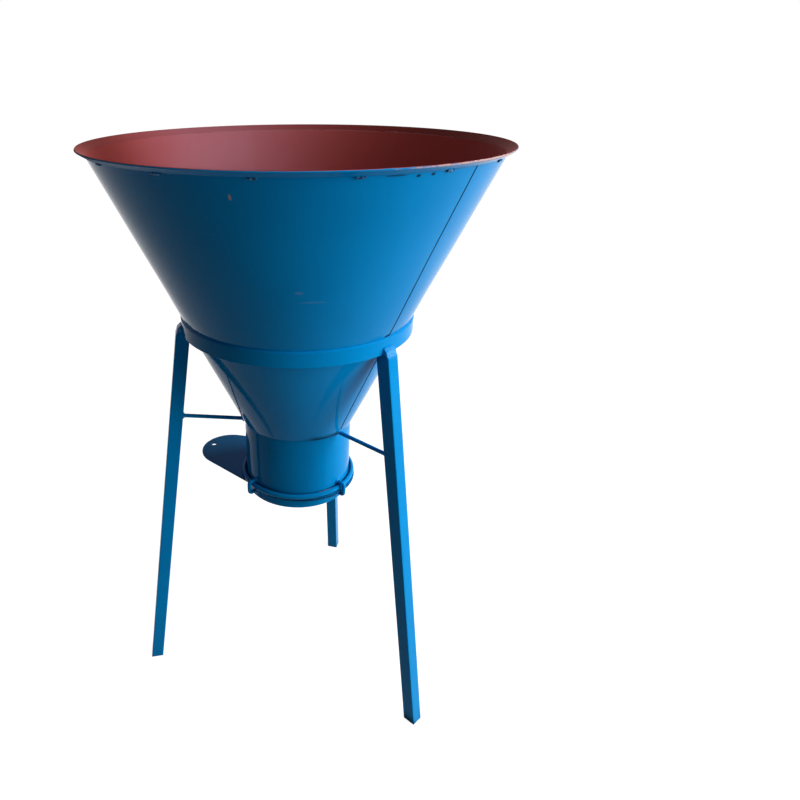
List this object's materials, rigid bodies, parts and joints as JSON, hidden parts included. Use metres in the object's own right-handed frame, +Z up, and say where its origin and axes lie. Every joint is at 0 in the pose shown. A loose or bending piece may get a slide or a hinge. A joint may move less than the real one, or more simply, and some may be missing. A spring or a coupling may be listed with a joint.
{
  "type": "aggregate test funnel",
  "caption": "Conical sheet-steel hopper with a flared rim on a splayed tubular stand; a sliding gate plate under its straight spout lets aggregate fall into a measure.",
  "frame": {"origin": "on the floor under the funnel's axis", "axes": "+Z up along the funnel's axis; the gate's handle points to -X and pulls out that way"},
  "size_m": [0.5449, 0.545, 0.8634],
  "materials": {
    "hopper_enamel": "gloss enamel",
    "spout_enamel": "gloss enamel",
    "stand_enamel": "gloss enamel",
    "gate_enamel": "gloss enamel",
    "lining_primer": "satin red oxide primer"
  },
  "bodies": {
    "stand": {"hopper_cone": "hopper_enamel", "rim_hoop": "hopper_enamel", "rim_tacks": "hopper_enamel", "seam_weld": "lining_primer", "spout_weld": "lining_primer", "spout_tube": "spout_enamel", "spout_ring": "spout_enamel", "outlet_collar": "spout_enamel", "guide_clip_front": "spout_enamel", "guide_clip_rear": "spout_enamel", "stop_clip": "spout_enamel", "clip_welds": "spout_enamel", "support_band": "stand_enamel", "leg_right": "stand_enamel", "leg_rear": "stand_enamel", "leg_front": "stand_enamel", "leg_welds": "stand_enamel", "brace_right": "stand_enamel", "brace_rear": "stand_enamel", "brace_front": "stand_enamel", "brace_welds": "stand_enamel"},
    "gate": {"gate_plate": "gate_enamel"}
  },
  "joints": [
    {"name": "gate_slide", "type": "slide", "parent": "stand", "child": "gate", "axis": [-1, 0, 0], "range_m": [0, 0.14]}
  ]
}
